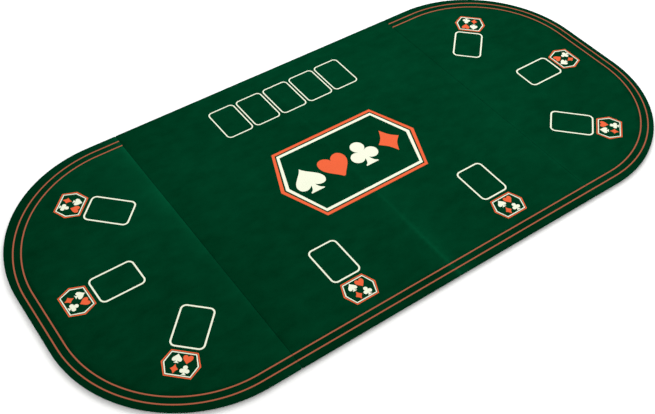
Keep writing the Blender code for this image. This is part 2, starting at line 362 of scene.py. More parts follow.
def near_border_strips():
    """The same two lines where they cross the middle boards, along the near side only."""
    past = MIDDLE_SEAM
    strips = []
    for inset in (0.0, BORDER_STEP):
        low = BORDER_CENTRE_Y - BORDER_HALF_WIDTH + inset
        corners = ((-past, low), (past, low), (past, low + BORDER_LINE), (-past, low + BORDER_LINE))
        strips.append(([Vector(c) for c in corners], RED))
    return strips


def end_print(side):
    shapes = border_lines()
    for (card_x, card_y), (badge_x, badge_y) in END_PLAYERS:
        shapes += player_place((side * card_x, card_y), (side * badge_x, badge_y))
    return shapes


def middle_print():
    shapes = near_border_strips()
    shared_x, shared_y = SHARED_CARDS
    for place in range(-2, 3):
        centre = (shared_x + place * SHARED_CARD_PITCH, shared_y)
        shapes += card_box(centre, (0, 1), SHARED_CARD_WIDTH, SHARED_CARD_RADIUS, SHARED_CARD_LINE)
    for side in (-1, 1):
        x = side * NEAR_PLAYER_X + PRINT_SHIFT
        shapes += player_place((x, NEAR_CARD_Y), (x, NEAR_BADGE_Y))
    suits = (("spade", "heart", "club", "diamond"),)
    centre = (PRINT_SHIFT, MIDDLE_BADGE_Y)
    shapes += badge(centre, (0, 1), MIDDLE_BADGE, suits, MIDDLE_SUIT, MIDDLE_BADGE_LINE)
    return shapes


# ---------------------------------------------------------------- felt meshes


def surface_height(x, y):
    """How far the felt stands from flat at a point of the table, in metres."""
    waves = 0.00010 * noise.noise(Vector((x * 14, y * 14, 1.7)))
    waves += 0.00006 * noise.noise(Vector((x * 45, y * 45, 4.1)))
    crease = -0.00042 * math.exp(-((x / 0.0022) ** 2))
    puckers = 0.00010 * math.exp(-abs(x) / 0.018) * noise.noise(Vector((x * 20, y * 110, 8.3)))
    return waves + crease + puckers


def fade(value, start, end):
    """From 0 at start to 1 at end, with smooth ends."""
    t = min(1.0, max(0.0, (value - start) / (end - start)))
    return t * t * (3 - 2 * t)


def to_edge(x, y):
    """Distance in from the table's outline, out to the depth of its corner radius."""
    past_x = max(abs(x) - HALF_LENGTH + END_CORNER_RADIUS, 0.0)
    past_y = max(abs(y) - HALF_WIDTH + END_CORNER_RADIUS, 0.0)
    return END_CORNER_RADIUS - math.hypot(past_x, past_y)


def brushed(x, y):
    """How much lighter (above 0) or darker (below 0) the felt is coloured at a point of the table: random
    patches of nap, with painted light and shade along the seams, the centre crease and the edges, and a
    painted light gradient across the table.
    """
    blotch = 0.5 + noise.noise(Vector((x * 9, y * 9, 3.3)))
    grain = 0.5 + noise.noise(Vector((x * 40, y * 14, 6.1)))
    light = 0.0
    # Painted highlight in a band left of the left seam, stronger in the upper half: partly the nap's tone,
    # partly painted light where the felt slopes to the seam.
    if x < -END_SEAM:
        from_seam = -END_SEAM - x
        upper = 0.25 + 0.75 * fade(y, -0.30, 0.12)
        light += upper * (0.46 * math.exp(-from_seam / 0.055) + 0.34 * math.exp(-from_seam / 0.009))
    else:
        # Painted shade just right of the left seam.
        light -= 0.16 * math.exp(-(x + END_SEAM) / 0.030)
    # Painted highlight along the near half of the centre fold.
    near = fade(-y, -0.06, 0.40)
    light += near * (0.38 * math.exp(-abs(x - 0.014) / 0.036) + 0.46 * math.exp(-((x / 0.0045) ** 2)))
    # Painted shade: a dark line in the centre crease, with a painted highlight on either side of it.
    light += 0.10 * math.exp(-((x / 0.006) ** 2)) - 0.22 * math.exp(-(((x - 0.004) / 0.0022) ** 2))
    # Painted highlight along the near half of the right seam.
    light += 0.25 * near * math.exp(-(((x - END_SEAM) / 0.005) ** 2))
    # Painted shade along the near edge and round the ends, where the felt turns down over the board.
    if y < 0 or abs(x) > MIDDLE_SEAM:
        light -= 0.34 * (1.0 - fade(to_edge(x, y), 0.036, 0.050))
    # Painted light and shade across the table: lighter towards the far right, darker at the right end and
    # towards the near left.
    light += 0.10 * fade(x + 0.5 * y, 0.0, 0.5) - 0.14 * fade(x, 0.60, 0.90)
    light -= 0.16 * fade(-x - 0.3 * y, 0.45, 0.95)
    # blotch and grain vary it all at random, as the nap's own tone.
    return light * (0.65 + 0.45 * blotch + 0.25 * grain)


def fill_points(outline_box, is_inside):
    """A triangular lattice of points over a felt's top, slightly shifted off its grid."""
    low, high = outline_box
    points = []
    rows = int((high.y - low.y) / (FILL_SPACING * 0.866)) + 1
    columns = int((high.x - low.x) / FILL_SPACING) + 1
    for row in range(rows):
        for column in range(columns + 1):
            x = low.x + (column + 0.5 * (row % 2)) * FILL_SPACING
            y = low.y + row * FILL_SPACING * 0.866
            x += 0.0015 * noise.noise(Vector((x * 300, y * 300, 0.3)))
            y += 0.0015 * noise.noise(Vector((x * 300, y * 300, 9.3)))
            if is_inside(x, y):
                points.append(Vector((x, y)))
    return points


def is_within(corners, x, y):
    """Whether a point lies inside a closed outline, by counting the edges to its right."""
    xs, ys = corners[:, 0], corners[:, 1]
    next_xs, next_ys = np.roll(xs, -1), np.roll(ys, -1)
    rise = np.where(next_ys == ys, 1e-12, next_ys - ys)
    crossing = (ys > y) != (next_ys > y)
    at = xs + (y - ys) / rise * (next_xs - xs)
    return bool(np.count_nonzero(crossing & (x < at)) % 2)


def inside_test(panel):
    """True for points well inside a felt's top, and clear of the crease's own columns."""
    loop, _ = felt_outline(panel, TOP_ROUND + FILL_CLEARANCE)
    corners = np.array(loop)

    def test(x, y):
        if panel == "middle" and abs(x) < FILL_SPACING * 0.6:
            return False
        return is_within(corners, x, y)

    return test


def crease_points():
    reach = HALF_WIDTH - TOP_ROUND - EDGE_SPACING / 2
    rows = int(2 * reach / EDGE_SPACING)
    return [Vector((x, -reach + row * 2 * reach / rows)) for row in range(rows + 1) for x in CREASE_COLUMNS]


def wrap_profile():
    """The felt's path from the edge of the top to its raw edge underneath, as (inset, height, length)."""
    profile = []
    for angle in (0, 22.5, 45, 67.5, 90):
        a = math.radians(angle)
        profile.append((TOP_ROUND * (1 - math.sin(a)), TOP - TOP_ROUND * (1 - math.cos(a))))
    profile.append((0.0, (TOP + UNDERSIDE) / 2))
    for angle in (0, 30, 60, 90):
        a = math.radians(angle)
        profile.append((BOTTOM_ROUND * (1 - math.cos(a)), UNDERSIDE + BOTTOM_ROUND * (1 - math.sin(a))))
    for share in (0.25, 0.5, 0.75, 1.0):
        profile.append((BOTTOM_ROUND + share * (FELT_MARGIN - BOTTOM_ROUND), UNDERSIDE))
    lengths = [0.0]
    for (inset, z), (next_inset, next_z) in zip(profile, profile[1:]):
        lengths.append(lengths[-1] + math.hypot(next_inset - inset, next_z - z))
    return [(inset, z, length) for (inset, z), length in zip(profile, lengths)]


def cut_top(panel, shapes, loop):
    """Triangles of the top, each with its ink, from a triangulation that holds every printed outline."""
    points = list(loop)
    faces = [list(range(len(loop)))]
    inks = [FELT]
    columns = CREASE_COLUMNS if panel == "middle" else ()
    for outline, ink in shapes:
        start = len(points)
        points += divided(anticlockwise(outline), columns)
        faces.append(list(range(start, len(points))))
        inks.append(ink)
    xs = [p.x for p in loop]
    ys = [p.y for p in loop]
    box = (Vector((min(xs), min(ys))), Vector((max(xs), max(ys))))
    points += fill_points(box, inside_test(panel))
    if panel == "middle":
        points += crease_points()
    verts, _, triangles, _, _, owners = delaunay_2d_cdt(points, [], faces, 0, 1e-7)
    kept = []
    for triangle, owner in zip(triangles, owners):
        if 0 in owner:
            kept.append((list(triangle), inks[max(owner)]))
    return verts, kept


def boundary_of(kept):
    """The edges that only one kept triangle has, in its own direction, each with its ink."""
    seen = {}
    for triangle, ink in kept:
        for a, b in zip(triangle, triangle[1:] + triangle[:1]):
            if (b, a) in seen:
                del seen[(b, a)]
            else:
                seen[(a, b)] = ink
    return seen


def loop_place(point, starts, ends):
    """Where a point lies on a loop, as (edge number, share of that edge)."""
    p = np.array(point)
    run = ends - starts
    squared = (run * run).sum(1)
    share = np.clip(((p - starts) * run).sum(1) / squared, 0, 1)
    gap = np.linalg.norm(starts + share[:, None] * run - p, axis=1)
    edge = int(gap.argmin())
    return edge, float(share[edge])


def pleat(panel, point, inset):
    """How far the turned felt stands out in pleats, where it goes round a wide corner."""
    dx = abs(point.x) - HALF_LENGTH + END_CORNER_RADIUS
    dy = abs(point.y) - HALF_WIDTH + END_CORNER_RADIUS
    if panel == "middle" or dx <= 0 or dy <= 0 or inset < BOTTOM_ROUND:
        return 0.0
    angle = math.atan2(dy, dx)
    round_corner = math.sin(2 * angle)
    ridge = max(0.0, math.sin(angle * 46 + 1.2 * math.sin(angle * 7))) ** 3
    return -PLEAT_DEPTH * round_corner * ridge * (inset / FELT_MARGIN)


def build_felt(name, panel, shapes):
    """One cloth: printed top, rounded edge, side, and the margin turned under the board."""
    profile = wrap_profile()
    base_loop, shares = felt_outline(panel, TOP_ROUND)
    loops = [[np.array(p) for p in felt_outline(panel, inset, shares)[0]] for inset, _, _ in profile]
    flat_verts, kept = cut_top(panel, shapes, base_loop)
    starts = np.array(loops[0])
    ends = np.roll(starts, -1, axis=0)

    positions = [Vector((v.x, v.y, TOP + surface_height(v.x, v.y))) for v in flat_verts]
    unrolled = [Vector((v.x, v.y)) for v in flat_verts]
    faces = list(kept)
    edges = boundary_of(kept)
    rings = {}

    def ring_vertex(base, level):
        if level == 0:
            return base
        if (base, level) not in rings:
            inset, z, length = profile[level]
            edge, share = places[base]
            start, end = loops[level][edge], loops[level][(edge + 1) % len(starts)]
            spot = Vector(start + share * (end - start))
            side = loops[SIDE_LEVEL]
            outer_start, outer_end = side[edge], side[(edge + 1) % len(starts)]
            outward = Vector(outer_start + share * (outer_end - outer_start)) - Vector(flat_verts[base])
            near_top = max(0.0, (z - TOP + TOP_ROUND) / TOP_ROUND)
            turned_under = inset * (z <= UNDERSIDE)
            z += near_top * surface_height(spot.x, spot.y) + pleat(panel, spot, turned_under)
            rings[(base, level)] = len(positions)
            positions.append(Vector((spot.x, spot.y, z)))
            unrolled.append(Vector(flat_verts[base]) + outward.normalized() * length)
        return rings[(base, level)]

    places = {a: loop_place(flat_verts[a], starts, ends) for a, _ in edges}
    for (a, b), ink in edges.items():
        in_slit = max(abs(flat_verts[a].x), abs(flat_verts[b].x)) < SLIT_HALF * 1.05
        for level in range(len(profile) - 1):
            if in_slit and level >= 1:
                break
            quad = [ring_vertex(b, level), ring_vertex(a, level)]
            quad += [ring_vertex(a, level + 1), ring_vertex(b, level + 1)]
            faces.append((quad, ink if level < SIDE_LEVEL else FELT))

    mesh = bpy.data.meshes.new(name)
    mesh.from_pydata(positions, [], [face for face, _ in faces])
    mesh.polygons.foreach_set("material_index", [ink for _, ink in faces])
    layer = mesh.uv_layers.new(name="cloth")
    for corner in mesh.loops:
        layer.data[corner.index].uv = unrolled[corner.vertex_index]
    shape = bmesh.new()
    shape.from_mesh(mesh)
    loose = [v for v in shape.verts if not v.link_faces]
    bmesh.ops.delete(shape, geom=loose, context="VERTS")
    shape.to_mesh(mesh)
    shape.free()
    mesh.shade_smooth()
    # Painted light and shade, with the nap's random tone, kept on each vertex for the felt's material.
    nap_and_painted_light_layer = mesh.attributes.new("brushed", "FLOAT", "POINT")
    nap_and_painted_light_layer.data.foreach_set("value", [brushed(v.co.x, v.co.y) for v in mesh.vertices])
    return add_object(name, mesh)


def thicken(obj, thickness):
    """Gives a sheet its thickness, inwards from the surface that shows."""
    modifier = obj.modifiers.new("thickness", "SOLIDIFY")
    modifier.thickness = thickness
    modifier.offset = -1.0
    apply_modifiers(obj)


def apply_modifiers(obj):
    graph = bpy.context.evaluated_depsgraph_get()
    mesh = bpy.data.meshes.new_from_object(obj.evaluated_get(graph))
    obj.modifiers.clear()
    old = obj.data
    obj.data = mesh
    mesh.name = old.name
    bpy.data.meshes.remove(old)


# ---------------------------------------------------------------- lining, pads and hinges


def lining_outline(body, inset):
    low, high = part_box(body + "_lining")
    round_low = round_high = LEAST_RADIUS
    if body == "end_left":
        round_low = END_CORNER_RADIUS - (low.x + HALF_LENGTH) - inset
    if body == "end_right":
        round_high = END_CORNER_RADIUS - (HALF_LENGTH - high.x) - inset
    radii = (round_low, round_high)
    return rounded_outline(low.x + inset, high.x - inset, high.y - inset, radii, 24)


def build_lining(body):
    """A sheet of leatherette glued under a board, with its cut edge slightly rounded."""
    loops = [lining_outline(body, LINING_EDGE_ROUND), lining_outline(body, 0.0)]
    low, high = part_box(body + "_lining")
    count = len(loops[0])
    columns = int((high.x - low.x) / LINING_SPACING)
    rows = int((high.y - low.y) / LINING_SPACING)
    step = Vector(((high.x - low.x) / columns, (high.y - low.y) / rows))
    inner = np.array(lining_outline(body, LINING_SPACING / 2))
    points = list(loops[0])
    for row in range(1, rows):
        for column in range(1, columns):
            spot = Vector((low.x + column * step.x, low.y + row * step.y))
            if is_within(inner, spot.x, spot.y):
                points.append(spot)
    verts, _, triangles, _, _, owners = delaunay_2d_cdt(points, [], [list(range(count))], 0, 1e-7)
    positions = [(v.x, v.y, low.z + lining_wave(v.x, v.y, loops[0])) for v in verts]
    faces = [list(reversed(t)) for t, owner in zip(triangles, owners) if owner]
    for height in (LINING_EDGE_ROUND, high.z - low.z - 0.0001):
        positions += [(p.x, p.y, low.z + height) for p in loops[1]]
    rings = (0, len(verts), len(verts) + count)
    for first, second in zip(rings, rings[1:]):
        for i in range(count):
            j = (i + 1) % count
            faces.append([first + i, first + j, second + j, second + i])
    mesh = bpy.data.meshes.new(body + "_lining_sheet")
    mesh.from_pydata(positions, [], faces)
    layer = mesh.uv_layers.new(name="cloth")
    for corner in mesh.loops:
        layer.data[corner.index].uv = positions[corner.vertex_index][:2]
    mesh.shade_smooth()
    mesh.set_sharp_from_angle(angle=math.radians(50))
    sheet = add_object(body + "_lining_sheet", mesh)
    thicken(sheet, LINING_THICKNESS)
    return sheet, Vector((high.x - low.x, high.y - low.y))


def lining_wave(x, y, rim):
    """How far the glue draws the sheet up into the board; nothing at its cut edge."""
    to_rim = min((abs(p.x - x) + abs(p.y - y)) for p in rim[::3])
    depth = 0.00009 + 0.00009 * noise.noise(Vector((x * 16, y * 16, 5.2)))
    return depth * fade(to_rim, 0.0, 0.03)


def turned(name, profile, steps, swell=None):
    """A closed mesh turned about Z; the (radius, height) points run from axis to axis, lowest first."""
    positions, rings = [], []
    for radius, z in profile:
        count = steps if radius else 1
        rings.append([len(positions) + i % count for i in range(steps)])
        for i in range(count):
            angle = 2 * math.pi * i / steps
            reach = radius + (swell(angle, z) if swell and radius else 0.0)
            positions.append((reach * math.cos(angle), reach * math.sin(angle), z))
    faces = []
    for lower, upper in zip(rings, rings[1:]):
        for i in range(steps):
            j = (i + 1) % steps
            corners = [lower[i], lower[j], upper[j], upper[i]]
            faces.append(list(dict.fromkeys(corners)))
    mesh = bpy.data.meshes.new(name)
    mesh.from_pydata(positions, [], faces)
    mesh.shade_smooth()
    mesh.set_sharp_from_angle(angle=math.radians(40))
    return mesh


def pad_shape(low, high):
    """A rubber bumper: rounded rim, and a foot face dished inside its standing ring."""
    radius = (high.x - low.x) / 2
    height = high.z - low.z
    foot = 0.90 * radius
    dish = 0.00055
    rim = 0.0011
    profile = [(0.0, dish)]
    for share in (0.2, 0.35, 0.5, 0.65, 0.78):
        profile.append((foot * share, dish - 0.00045 * fade(share, 0.35, 0.85)))
    profile += [(p.x, p.y) for p in arc((foot - rim, rim), rim, -90, -8, 8)]
    profile += [(radius - 0.00025, height - 0.0009), (radius - 0.00005, height - 0.00035)]
    profile += [(radius, height - 0.0002), (radius - 0.0003, height), (radius * 0.5, height), (0.0, height)]
    return turned("bumper", profile, PAD_STEPS)


def screw_shape(low, high):
    """A countersunk screw standing on its head, threaded up to its point, with a cross recess."""
    head = (high.x - low.x) / 2
    length = high.z - low.z
    core = 0.38 * head
    thread = 0.12 * head
    start, end = LEAF_THICKNESS * 1.1, length * 0.80

    def swell(angle, z):
        if not start < z < length:
            return 0.0
        phase = (z / THREAD_PITCH - angle / (2 * math.pi)) % 1.0
        ridge = max(0.0, 1.0 - abs(phase - 0.5) * 4.0)
        return thread * ridge * min(1.0, (z - start) / THREAD_PITCH) * (1 - fade(z, end, length))

    profile = [(0.0, 0.00002), (head * 0.7, 0.00004), (head * 0.93, 0.00007), (head, 0.00018)]
    profile += [(core + thread, LEAF_THICKNESS), (core + 0.4 * thread, start)]
    turns = 40
    for step in range(1, turns):
        z = start + (length - start) * step / turns
        profile.append((core * (1 - 0.85 * fade(z, end, length)), z))
    profile.append((0.0, length))
    screw = add_object("screw_blank", turned("countersunk_screw", profile, SCREW_STEPS, swell))
    cutters = []
    for angle in (0.0, math.pi / 2):
        shape = bmesh.new()
        bmesh.ops.create_cube(shape, size=1.0)
        for v in shape.verts:
            deep = v.co.z > 0
            v.co.x *= head * (0.55 if deep else 1.30)
            v.co.y *= head * (0.20 if deep else 0.27)
            v.co.z = 0.52 * head if deep else -0.0002
        shape.transform(Matrix.Rotation(angle, 4, "Z"))
        mesh = bpy.data.meshes.new("recess")
        shape.to_mesh(mesh)
        shape.free()
        cutters.append(add_object("recess", mesh))
    cut_with(screw, cutters)
    mesh = screw.data
    bpy.data.objects.remove(screw)
    return mesh


def weld(mesh):
    """Merges the slivers that a cut leaves, so that the mesh stays one closed skin."""
    shape = bmesh.new()
    shape.from_mesh(mesh)
    bmesh.ops.remove_doubles(shape, verts=shape.verts, dist=WELD)
    bmesh.ops.dissolve_degenerate(shape, edges=shape.edges, dist=WELD)
    bmesh.ops.dissolve_limit(shape, angle_limit=0.0005, verts=shape.verts, edges=shape.edges)
    shape.to_mesh(mesh)
    shape.free()


def cut_with(obj, cutters, operation="DIFFERENCE"):
    for cutter in cutters:
        modifier = obj.modifiers.new("cut", "BOOLEAN")
        modifier.operation = operation
        modifier.solver = "EXACT"
        modifier.object = cutter
    apply_modifiers(obj)
    weld(obj.data)
    for cutter in cutters:
        mesh = cutter.data
        bpy.data.objects.remove(cutter)
        bpy.data.meshes.remove(mesh)


def extruded(name, outlines, depth, turn=None):
    """A flat outline with its holes, given a depth that is centred on it."""
    curve = bpy.data.curves.new(name, "CURVE")
    curve.dimensions = "2D"
    curve.fill_mode = "BOTH"
    curve.extrude = depth / 2
    for outline in outlines:
        spline = curve.splines.new("POLY")
        spline.points.add(len(outline) - 1)
        for point, spot in zip(spline.points, outline):
            point.co = (spot[0], spot[1], 0.0, 1.0)
        spline.use_cyclic_u = True
    drawing = add_object(name, curve)
    bpy.context.view_layer.update()
    mesh = bpy.data.meshes.new_from_object(drawing.evaluated_get(bpy.context.evaluated_depsgraph_get()))
    bpy.data.objects.remove(drawing)
    bpy.data.curves.remove(curve)
    shape = bmesh.new()
    shape.from_mesh(mesh)
    bmesh.ops.remove_doubles(shape, verts=shape.verts, dist=1e-6)
    if turn:
        shape.transform(turn)
    shape.to_mesh(mesh)
    shape.free()
    return add_object(name, mesh)


def leaf_shape(width, length, barrel, pin, screws, own_parity):
    """One leaf of a butt hinge about its pin along Y, its plate towards +X and its face upwards."""
    meet = math.degrees(math.asin((barrel - LEAF_THICKNESS) / barrel))
    section = [Vector((width, barrel)), Vector((width, barrel - LEAF_THICKNESS))]
    section += arc((0, 0), barrel, meet, -270, BARREL_STEPS)
    bore = arc((0, 0), pin + PIN_CLEARANCE, 0, 360, BARREL_STEPS)[:-1]
    upright = Matrix.Rotation(math.pi / 2, 4, "X")
    leaf = extruded("hinge_leaf", [section, bore], length, upright)
    outline = rounded_outline(-1.5 * barrel, width, length / 2, (LEAST_RADIUS, LEAF_CORNER), 10)
    plan = extruded("leaf_plan", [outline], 4 * barrel)
    cut_with(leaf, [plan], "INTERSECT")
    cutters = []
    pitch = length / KNUCKLES
    room = barrel + KNUCKLE_GAP
    for number in range(KNUCKLES):
        if number % 2 != own_parity:
            past_low = 0.002 if number == 0 else KNUCKLE_GAP / 2
            past_high = 0.002 if number == KNUCKLES - 1 else KNUCKLE_GAP / 2
            low = -length / 2 + number * pitch - past_low
            high = -length / 2 + (number + 1) * pitch + past_high
            box = [Vector(p) for p in ((-room, low), (room, low), (room, high), (-room, high))]
            cutters.append(extruded("knuckle_room", [box], 4 * barrel))
    narrow, wide, bottom = screws["narrow"], screws["wide"], barrel - LEAF_THICKNESS
    slope = (wide - narrow) / LEAF_THICKNESS
    for x, y in screws["places"]:
        profile = [(0.0, bottom - 0.0005), (wide + 0.0005 * slope, bottom - 0.0005)]
        profile += [(narrow - 0.0003 * slope, barrel + 0.0003), (0.0, barrel + 0.0003)]
        sink = add_object("countersink", turned("countersink", profile, SCREW_STEPS))
        sink.data.transform(Matrix.Translation((x, y, 0)))
        cutters.append(sink)
    cut_with(leaf, cutters)
    bevel = leaf.modifiers.new("worn_edges", "BEVEL")
    bevel.width = LEAF_EDGE_ROUND
    bevel.segments = 2
    bevel.limit_method = "ANGLE"
    bevel.angle_limit = math.radians(40)
    apply_modifiers(leaf)
    weld(leaf.data)
    mesh = leaf.data
    bpy.data.objects.remove(leaf)
    mesh.shade_smooth()
    mesh.set_sharp_from_angle(angle=math.radians(30))
    return mesh


def pin_shape(radius, length):
    """A hinge pin about Z with domed ends."""
    dome = 0.0004
    profile = [(0.0, -length / 2), (radius * 0.6, 0.25 * dome - length / 2), (radius, dome - length / 2)]
    profile += [(r, -z) for r, z in reversed(profile)]
    return turned("hinge_pin", profile, BARREL_STEPS)


# ---------------------------------------------------------------- materials


class Nodes:
    """Short calls for building a node tree."""

    def __init__(self, name):
        self.material = bpy.data.materials.new(name)
        self.material.use_nodes = True
        self.tree = self.material.node_tree
        self.shader = self.tree.nodes["Principled BSDF"]

    def link(self, value, socket):
        if isinstance(value, bpy.types.NodeSocket):
            self.tree.links.new(value, socket)
        else:
            socket.default_value = value

    def add(self, kind, **settings):
        node = self.tree.nodes.new(kind)
        for key, value in settings.items():
            setattr(node, key, value)
        return node

    def put(self, **values):
        """Sets sockets of the shader, named with _ for a space."""
        for name, value in values.items():
            self.link(value, self.shader.inputs[name.replace("_", " ")])

    def noise(self, vector, scale, detail, roughness, stretch=None):
        if stretch:
            mapping = self.add("ShaderNodeMapping")
            self.link(vector, mapping.inputs["Vector"])
            mapping.inputs["Scale"].default_value = stretch
            vector = mapping.outputs["Vector"]
        node = self.add("ShaderNodeTexNoise")
        self.link(vector, node.inputs["Vector"])
        node.inputs["Scale"].default_value = scale
        node.inputs["Detail"].default_value = detail
        node.inputs["Roughness"].default_value = roughness
        return node.outputs["Fac"]

    def math(self, operation, a, b):
        node = self.add("ShaderNodeMath", operation=operation)
        self.link(a, node.inputs[0])
        self.link(b, node.inputs[1])
        return node.outputs[0]

    def total(self, *parts):
        """The sum of (value, weight) pairs."""
        terms = [self.math("MULTIPLY", value, weight) for value, weight in parts]
        result = terms[0]
        for term in terms[1:]:
            result = self.math("ADD", result, term)
        return result

    def ranged(self, value, low, high, to_low, to_high):
        node = self.add("ShaderNodeMapRange")
        self.link(value, node.inputs["Value"])
        for key, number in (("From Min", low), ("From Max", high), ("To Min", to_low), ("To Max", to_high)):
            node.inputs[key].default_value = number
        return node.outputs[0]

    def mix(self, factor, a, b):
        node = self.add("ShaderNodeMix", data_type="RGBA")
        self.link(factor, node.inputs["Factor"])
        self.link(a, node.inputs[6])
        self.link(b, node.inputs[7])
        return node.outputs[2]

    def bump(self, height, strength, distance, normal=None):
        node = self.add("ShaderNodeBump")
        self.link(height, node.inputs["Height"])
        node.inputs["Strength"].default_value = strength
        node.inputs["Distance"].default_value = distance
        if normal:
            self.link(normal, node.inputs["Normal"])
        return node.outputs["Normal"]


def rgba(red, green, blue):
    return (red, green, blue, 1.0)


def cloth_coordinates(nodes):
    """Metres along the cloth, from its own map, so that the pattern stays on it when it folds."""
    return nodes.add("ShaderNodeUVMap", uv_map="cloth").outputs["UV"]


def nap(nodes, cloth):
    """The felt's fibres and its patches of nap: (fine, patches, broad), each about 0.5 in the middle."""
    fibres = nodes.noise(cloth, 1500.0, 4.0, 0.75)
    crossing = nodes.noise(cloth, 900.0, 3.0, 0.7, (0.22, 1.0, 1.0))
    tangled = nodes.noise(cloth, 900.0, 3.0, 0.7, (1.0, 0.30, 1.0))
    fine = nodes.total((fibres, 0.44), (crossing, 0.30), (tangled, 0.26))
    fine = nodes.ranged(fine, 0.30, 0.70, 0.0, 1.0)
    patches = nodes.noise(cloth, 30.0, 4.0, 0.6, (0.6, 1.0, 1.0))
    broad = nodes.noise(cloth, 3.2, 3.0, 0.5)
    return fine, patches, broad


def felt_material():
    nodes = Nodes("printed_felt_green")
    cloth = cloth_coordinates(nodes)
    fine, patches, broad = nap(nodes, cloth)
    dark = rgba(0.0, 0.0160, 0.0047)
    light = rgba(0.0008, 0.0610, 0.0232)
    shade = nodes.total((fine, 0.40), (patches, 0.35), (broad, 0.25))
    # Painted light and shade from the vertex layer, added to the felt's tone.
    nap_and_painted_light_share = nodes.add("ShaderNodeAttribute", attribute_name="brushed").outputs["Fac"]
    shade = nodes.math("ADD", nodes.ranged(shade, 0.32, 0.68, 0.0, 1.0), nodes.math("MULTIPLY", nap_and_painted_light_share, 1.15))
    colour = nodes.mix(nodes.ranged(shade, 0.0, 2.0, 0.0, 1.0), dark, light)
    nodes.put(Base_Color=colour)
    nodes.put(Roughness=nodes.ranged(fine, 0.2, 0.8, 0.98, 0.86))
    nodes.put(Specular_IOR_Level=0.0)
    nodes.put(Sheen_Weight=0.05)
    nodes.put(Sheen_Roughness=0.5)
    nodes.put(Sheen_Tint=rgba(0.0, 0.75, 0.35))
    coarse = nodes.bump(patches, 0.25, 0.0006)
    nodes.put(Normal=nodes.bump(fine, 0.75, 0.0005, coarse))
    return nodes.material


def ink_material(name, thick, thin):
    """Screen ink on felt: the fibres show through as small thin spots."""
    nodes = Nodes(name)
    cloth = cloth_coordinates(nodes)
    fine, patches, _ = nap(nodes, cloth)
    worn = nodes.total((fine, 0.75), (patches, 0.25))
    colour = nodes.mix(nodes.ranged(worn, 0.50, 0.85, 0.0, 0.55), thick, thin)
    nodes.put(Base_Color=colour)
    nodes.put(Roughness=nodes.ranged(fine, 0.2, 0.8, 0.62, 0.80))
    nodes.put(Specular_IOR_Level=0.10)
    nodes.put(Normal=nodes.bump(fine, 0.40, 0.0004))
    return nodes.material


def felt_materials():
    white = ink_material("white_ink_on_felt", rgba(0.70, 0.72, 0.57), rgba(0.36, 0.46, 0.33))
    orange = ink_material("orange_ink_on_felt", rgba(0.66, 0.096, 0.030), rgba(0.36, 0.065, 0.022))
    red = ink_material("red_ink_on_felt", rgba(0.31, 0.083, 0.040), rgba(0.185, 0.055, 0.028))
    return [felt_material(), white, orange, red]


def object_coordinates(nodes):
    return nodes.add("ShaderNodeTexCoord").outputs["Object"]


def leatherette_material():
    """Black coated cloth: small raised pebbles with fine creases between them."""
    nodes = Nodes("black_leatherette")
    cloth = cloth_coordinates(nodes)
    cells = nodes.add("ShaderNodeTexVoronoi", feature="SMOOTH_F1")
    nodes.link(cloth, cells.inputs["Vector"])
    cells.inputs["Scale"].default_value = 620.0
    cells.inputs["Smoothness"].default_value = 0.5
    pebbles = cells.outputs["Distance"]
    creases = nodes.noise(cloth, 190.0, 4.0, 0.6)
    broad = nodes.noise(cloth, 6.0, 3.0, 0.55)
    relief = nodes.total((pebbles, -0.7), (creases, 0.5))
    # Painted shade: darker between the pebbles, in the creases; the broad patches change the tone at
    # random.
    shade = nodes.total((pebbles, 0.6), (broad, 0.6))
    raised, crease_shade_and_dark_patch = rgba(0.0120, 0.0120, 0.0125), rgba(0.0050, 0.0050, 0.0055)
    colour = nodes.mix(nodes.ranged(shade, 0.25, 0.85, 0.0, 1.0), raised, crease_shade_and_dark_patch)
    nodes.put(Base_Color=colour)
    nodes.put(Roughness=nodes.ranged(broad, 0.3, 0.7, 0.46, 0.60))
    nodes.put(Specular_IOR_Level=0.16)
    nodes.put(Normal=nodes.bump(relief, 0.7, 0.0003))
    return nodes.material


def rubber_material():
    nodes = Nodes("black_rubber")
    place = object_coordinates(nodes)
    grain = nodes.noise(place, 1400.0, 3.0, 0.6)
    dust = nodes.noise(place, 160.0, 4.0, 0.65)
    clean, dusty = rgba(0.012, 0.012, 0.012), rgba(0.045, 0.043, 0.040)
    colour = nodes.mix(nodes.ranged(dust, 0.45, 0.75, 0.0, 1.0), clean, dusty)
    nodes.put(Base_Color=colour)
    nodes.put(Roughness=nodes.ranged(grain, 0.3, 0.7, 0.62, 0.85))
    nodes.put(Specular_IOR_Level=0.35)
    nodes.put(Normal=nodes.bump(grain, 0.35, 0.0001))
    return nodes.material


def zinc_material():
    """Bright zinc plate: cloudy patches, rolling marks along the sheet and a few fine scratches."""
    nodes = Nodes("zinc_plated_steel")
    place = object_coordinates(nodes)
    clouds = nodes.noise(place, 240.0, 4.0, 0.6)
    rolled = nodes.noise(place, 700.0, 3.0, 0.6, (0.12, 1.0, 1.0))
    scratches = nodes.noise(place, 1600.0, 2.0, 0.5, (1.0, 0.03, 1.0))
    shade = nodes.total((clouds, 0.6), (rolled, 0.4))
    dull, bright = rgba(0.46, 0.47, 0.49), rgba(0.74, 0.74, 0.73)
    colour = nodes.mix(nodes.ranged(shade, 0.35, 0.65, 0.0, 1.0), dull, bright)
    nodes.put(Base_Color=colour)
    nodes.put(Metallic=1.0)
    nodes.put(Roughness=nodes.ranged(shade, 0.35, 0.65, 0.42, 0.24))
    relief = nodes.total((rolled, 0.5), (scratches, 0.5))
    nodes.put(Normal=nodes.bump(relief, 0.25, 0.00005))
    return nodes.material


